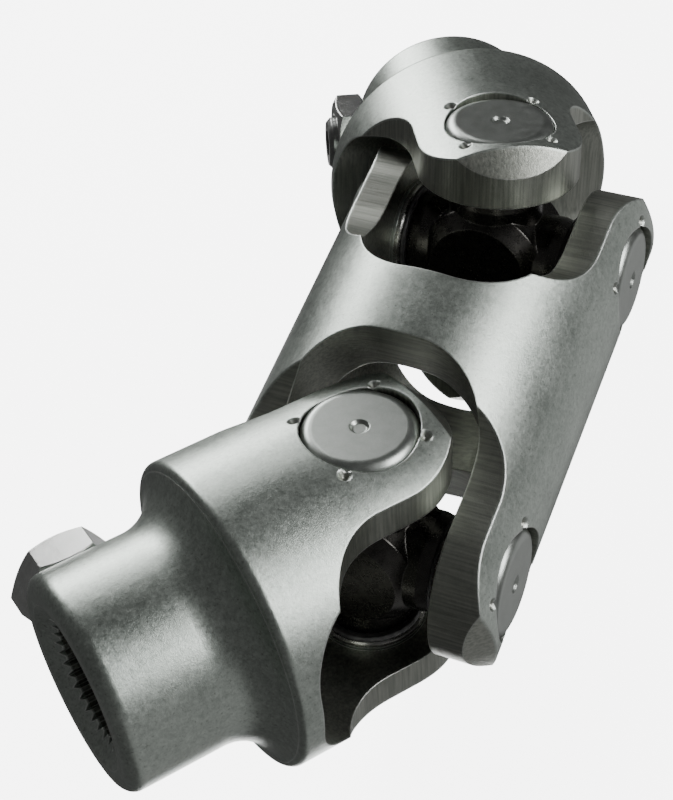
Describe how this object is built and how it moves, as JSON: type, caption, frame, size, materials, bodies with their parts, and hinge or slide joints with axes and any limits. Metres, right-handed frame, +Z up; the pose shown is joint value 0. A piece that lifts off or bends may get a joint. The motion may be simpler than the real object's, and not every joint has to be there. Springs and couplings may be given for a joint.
{
  "type": "universal joint shaft",
  "caption": "Double universal joint shaft: two splined end yokes hinged by needle-bearing crosses to a centre yoke, with set screws locked by jam nuts.",
  "frame": {"origin": "middle of the base of the bounding box, on the table that the bent shaft lies on", "axes": "+Z up; +X along the centre yoke towards the output end, to within 2 degrees"},
  "size_m": [0.1292, 0.0574, 0.0558],
  "materials": {
    "satin_steel": "satin bead-blasted",
    "cap_steel": "smooth dark satin",
    "black_steel": "black oxide",
    "bright_steel": "bright zinc",
    "screw_steel": "dark satin",
    "rubber": "matte",
    "roller_steel": "ground"
  },
  "bodies": {
    "centre": {"centre_input_cap_a": "cap_steel", "centre_input_cap_b": "cap_steel", "centre_input_retainer_a": "bright_steel", "centre_input_retainer_b": "bright_steel", "centre_input_rollers_a": "roller_steel", "centre_input_rollers_b": "roller_steel", "centre_input_seal_a": "rubber", "centre_input_seal_b": "rubber", "centre_output_cap_a": "cap_steel", "centre_output_cap_b": "cap_steel", "centre_output_retainer_a": "bright_steel", "centre_output_retainer_b": "bright_steel", "centre_output_rollers_a": "roller_steel", "centre_output_rollers_b": "roller_steel", "centre_output_seal_a": "rubber", "centre_output_seal_b": "rubber", "centre_yoke": "satin_steel"},
    "input_cross": {"input_cross": "black_steel"},
    "input_end": {"input_jam_nut": "bright_steel", "input_set_screw": "screw_steel", "input_yoke": "satin_steel", "input_yoke_cap_a": "cap_steel", "input_yoke_cap_b": "cap_steel", "input_yoke_retainer_a": "bright_steel", "input_yoke_retainer_b": "bright_steel", "input_yoke_rollers_a": "roller_steel", "input_yoke_rollers_b": "roller_steel", "input_yoke_seal_a": "rubber", "input_yoke_seal_b": "rubber"},
    "output_cross": {"output_cross": "black_steel"},
    "output_end": {"output_jam_nut": "bright_steel", "output_set_screw": "screw_steel", "output_yoke": "satin_steel", "output_yoke_cap_a": "cap_steel", "output_yoke_cap_b": "cap_steel", "output_yoke_retainer_a": "bright_steel", "output_yoke_retainer_b": "bright_steel", "output_yoke_rollers_a": "roller_steel", "output_yoke_rollers_b": "roller_steel", "output_yoke_seal_a": "rubber", "output_yoke_seal_b": "rubber"}
  },
  "joints": [
    {"name": "input_centre_pins", "type": "hinge", "parent": "centre", "child": "input_cross", "pos_m": [-0.02412, -0.00802, 0.02164], "axis": [-0.0182, -0.7818, -0.6232], "range_deg": [0, 34]},
    {"name": "input_yoke_pins", "type": "hinge", "parent": "input_cross", "child": "input_end", "pos_m": [-0.02412, -0.00802, 0.02164], "axis": [0.314, -0.5962, 0.7388], "range_deg": [0, 66.8]},
    {"name": "output_centre_pins", "type": "hinge", "parent": "centre", "child": "output_cross", "pos_m": [0.02396, -0.00802, 0.02024], "axis": [-0.0182, -0.7818, -0.6232], "range_deg": [0, 45.6]},
    {"name": "output_yoke_pins", "type": "hinge", "parent": "output_cross", "child": "output_end", "pos_m": [0.02396, -0.00802, 0.02024], "axis": [-0.4084, 0.5748, -0.7092], "range_deg": [0, 62.6]}
  ]
}
